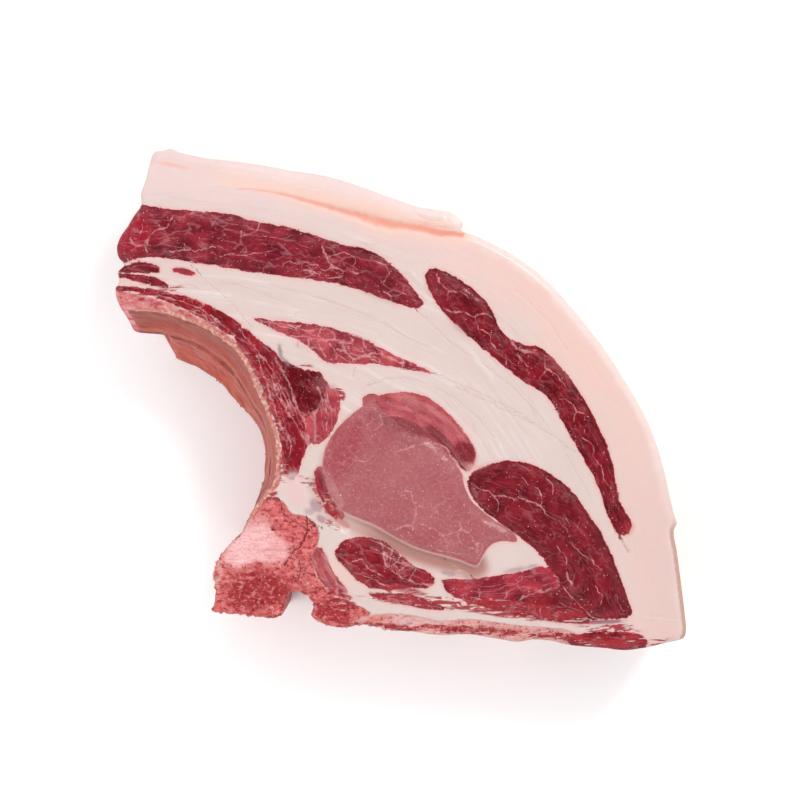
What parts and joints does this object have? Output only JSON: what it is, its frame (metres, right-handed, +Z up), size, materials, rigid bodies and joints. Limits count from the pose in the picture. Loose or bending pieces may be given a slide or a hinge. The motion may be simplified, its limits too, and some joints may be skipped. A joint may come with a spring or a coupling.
{
  "type": "pork blade steak",
  "caption": "Thick raw pork blade steak cut across the side, bone in and skin on, with dark and pale muscles, sawn spine and rib, and a deep layer of back fat.",
  "frame": {"origin": "under the middle of the steak's box, on the flat back face that it lies on", "axes": "+Z up through the thickness, out of the cut face; +X from the belly end to the back, along the longest side; +Y from the sawn spine to the skin at the belly end"},
  "size_m": [0.2286, 0.201, 0.0499],
  "materials": {
    "fat": null,
    "dark_lean": null,
    "pale_lean": null,
    "bone": "sawn bone, rough and porous"
  },
  "bodies": {
    "root": {"top_band": "dark_lean", "outer_band": "dark_lean", "middle_band": "dark_lean", "flank_strip_upper": "dark_lean", "flank_strip_lower": "dark_lean", "flank_islet": "dark_lean", "rib_band": "dark_lean", "intercostal": "dark_lean", "deep_lobe": "dark_lean", "small_lobe": "dark_lean", "spinalis": "dark_lean", "semispinalis": "dark_lean", "splenius": "dark_lean", "lower_lobe": "dark_lean", "multifidus": "dark_lean", "multifidus_strip": "dark_lean", "nuchal_strip": "dark_lean", "rotator": "dark_lean", "levator": "dark_lean", "loin_eye": "pale_lean", "rib": "bone", "feather_bone": "bone", "chine_bone": "bone", "fat_and_skin": "fat"}
  },
  "joints": []
}
